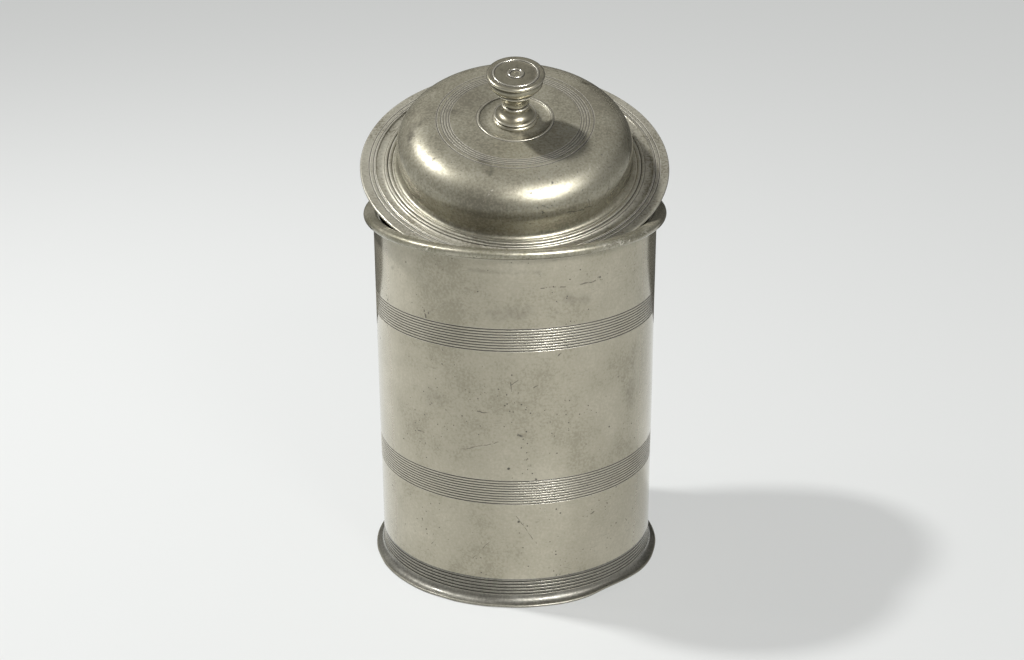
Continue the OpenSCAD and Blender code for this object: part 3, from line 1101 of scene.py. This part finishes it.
domeValues = {
    "segments": 384,
    "runOut": 0.25,
    "radius": 54.1,
    "height": 25.0,
    "crown": 0.6,
    "shoulder": (16.9, 14.9),
    "wall": 1.8,
    "ring": 16.8,
    "dish": 0.8,
    "footInner": 52.0,
    "footUnder": -1.0,
    "closeRows": (36.3, 29.2),      # the stretch of crown that holds the cut lines
    "dishEnd": 13.4,
    "bands": [
        cutBand(35.6, 1.0, 1, 0.84, 0.15, 23.0, onTop=1.0),
        cutBand(33.5, 1.2, 4, 0.80, 0.16, 23.0, onTop=1.0),
    ],
    # on the lid: millimetres round from the front, and radius less height
    "crack": [markAt(22, 42, 17, 10, 0.55), markAt(39, 44, 12, 12, 0.5), markAt(51, 46, 7, -38, 0.4),
              markAt(56, 42, 8, -55, 0.35)],
    "dents": [markAt(12, 37, 5, 48, 0.7), markAt(15, 36, 4, 35, 0.6)],
    "strewn": {"seed": 5, "count": 10, "around": (-170, 170), "height": (24, 46), "longest": 8,
               "width": (0.22, 0.5)},
    "glints": [markAt(-17, 34, 8, -65, 1.1), markAt(56, 26, 1, 0, 0.9), markAt(50, 24, 1, 0, 0.8)],
    "stains": [
        markAt(-98, 25, 18, 10, 6.5), markAt(-100, 17, 5, 40, 3.0), markAt(-113, 4, 4, -30, 6.0),
        markAt(-30, 8, 14, 30, 5.0), markAt(150, 20, 10, 120, 5.0),
    ],
}


def crownAt(radius):
    # the gentle rise of the dome inside its shoulder
    inner = domeValues["radius"] - domeValues["shoulder"][0]
    return domeValues["height"] - domeValues["crown"] * (radius / inner) ** 2


def crownLine(start, stop, step):
    return [(spot[0], crownAt(spot[0])) for spot in line((start, 0), (stop, 0), step)]


dishFloor = crownAt(domeValues["ring"]) - domeValues["dish"]
footFlange = brimValues["foot"]


def makeLidDome(values):
    wide, tall = values["shoulder"]
    wall, ring = values["wall"], values["ring"]
    inner = values["radius"] - wide
    side = values["height"] - values["crown"] - tall
    rowsFrom, rowsTo = values["closeRows"]
    under, dishEnd = dishFloor - wall, values["dishEnd"]
    footUnder = values["footUnder"]
    outline = [(values["footInner"], footUnder), (footFlange, footUnder), (footFlange, 0.2)]
    outline += arc(footFlange - 0.2, 3.3, 2.4, 3, -88, -180, 10)
    outline += line((footFlange - 2.6, 3.3), (values["radius"], side), 1.5)
    outline += arc(inner, side, wide, tall, 0, 90, 48)
    outline += crownLine(inner, rowsFrom, 0.5) + crownLine(rowsFrom, rowsTo, 0.09)
    outline += crownLine(rowsTo, ring + 1.2, 1.2)
    outline += arc(ring, crownAt(ring), 0.55, 0.28, 0, 180, 10)
    dish = [(0.8, 0.62), (1.4, 0.36), (2.2, 0.13), (3.0, 0.03), (3.6, 0.02), (4.4, 0.12), (5.2, 0.34),
            (5.9, 0.62), (6.6, 0.7)]    # in from the ring, up from the dish floor
    outline += [(ring - inset, dishFloor + rise) for inset, rise in dish]
    outline += [(knobValues["tenon"], dishFloor + 0.7)]
    outline += line((knobValues["tenon"], under), (dishEnd, under), 3.0)
    outline += line((dishEnd, under), (inner, values["height"] - values["crown"] - wall), 3.0)
    outline += arc(inner, side, wide - wall, tall - wall, 90, 0, 28)
    marks = values["crack"] + values["dents"] + strewMarks(values["strewn"])
    look = {**lidLook, "marks": marks, "glints": values["glints"], "stains": values["stains"],
            "pitShare": 1.5}
    makePiece("lidDome", ("lid_dome", "lid", "pewter_lid"), outline, values, "domePewter", look)


collarValues = {"segments": 256, "runOut": 0.25, "depth": 19.5, "wall": 1.8}


def makeLidCollar(values):
    outer = brimValues["collar"]
    inner, depth = outer - values["wall"], values["depth"]
    top = 0.6 - brimValues["thick"]
    low = -depth + 0.8      # where the rounded lower edge starts
    outline = line((outer, top), (outer, low), 3.0) + arc(outer - 0.4, low, 0.4, 0.8, 0, -90, 5)
    outline += arc(inner + 0.4, low, 0.4, 0.8, -90, -180, 5) + line((inner, low), (inner, top), 3.0)
    look = {**insideLook, "onLid": True}
    makePiece("lidCollar", ("lid_collar", "lid", "pewter_inside"), outline, values, "collarPewter", look)


def makeKnob(values):
    foot, tenon = dishFloor, values["tenon"]
    top = foot + values["tall"]
    outline = [(0, foot - tenon), (tenon, foot - tenon), (tenon, foot), (6.5, foot), (9.9, foot)]
    outline += arc(9.1, foot + 1.2, 1.2, 0.95, -70, 80, 12) + [(9.05, foot + 2.3)]
    outline += arc(8.9, foot + 3, 0.9, 0.55, -85, 90, 10)
    outline += arc(9.2, foot + 7.2, 3.7, 3.6, 270, 180, 14) + [(5.55, foot + 7.6)]
    outline += arc(5.4, foot + 8.5, 0.8, 0.6, -90, 90, 10)
    outline += arc(9.6, foot + 11.6, 3.6, 2.4, 200, 150, 8)
    outline += [(6.6, foot + 14.4), (7.8, foot + 15.4), (9.1, foot + 16.4)]
    outline += arc(9.3, foot + 17.4, 0.9, 0.65, -90, 90, 10) + [(9.5, foot + 18.35)]
    outline += arc(10.4, foot + 21.2, 1.8, 2.1, -90, 80, 16) + [(11.6, foot + 23.5)]
    outline += arc(11.6, foot + 24.5, 1.4, 1, -70, 100, 18) + [(10.6, top - 0.42)]
    outline += arc(9.9, top - 0.3, 0.45, 0.3, 0, 180, 8) + [(9.2, top - 0.5)]
    outline += line((8.8, top - 0.6), (4.2, top - 0.7), 1.2)
    outline += arc(3.1, top - 0.3, 0.6, 0.3, -30, 200, 8) + [(2.0, top - 0.7), (1.2, top - 0.9)]
    outline += [(0.9, top - 0.8), (0.5, top - 0.65), (0, top - 0.6)]
    look = {**lidLook, "light": (0.40, 0.373, 0.285, 1), "middle": (0.32, 0.297, 0.22, 1), "wear": 1.6,
            "metal": 0.80, "grimeAndShade": 1.0, "rough": 0.27, "clouds": 90.0, "pitShare": 0.12, "waves": 0.02,
            "scratchShare": 0.25, "speckle": 0.6}
    makePiece("lidKnob", ("knob", "lid", "pewter_knob"), outline, values, "knobPewter", look)


def makeKnobSolder():
    under = dishFloor - domeValues["wall"]
    tenon = knobValues["tenon"]
    drops = [(0, 0), (0, 1.0), (0.5, 1.0), (1.1, 0.75), (1.8, 0.3), (2.4, 0)]    # out and down
    outline = [(tenon + out, under - down) for out, down in drops]
    job, look = ("knob_solder", "lid", "solder"), {**solderLook, "onLid": True}
    makePiece("knobSolder", job, outline, {"segments": 96}, "knobSolderMetal", look)


makeLidBrim(brimValues)
makeLidDome(domeValues)
makeLidCollar(collarValues)
underBrim = -brimValues["thick"]
collarInner = brimValues["collar"] - collarValues["wall"]
makeSolder("collarSolder", "collar_solder", "lid", (collarInner, underBrim), (-1.5, -1.5))
domeFoot = (domeValues["footInner"], domeValues["footUnder"])
makeSolder("domeSolder", "dome_solder", "lid", domeFoot, (-0.4, 1.5))
makeKnob(knobValues)
makeKnobSolder()
say("lid is made")
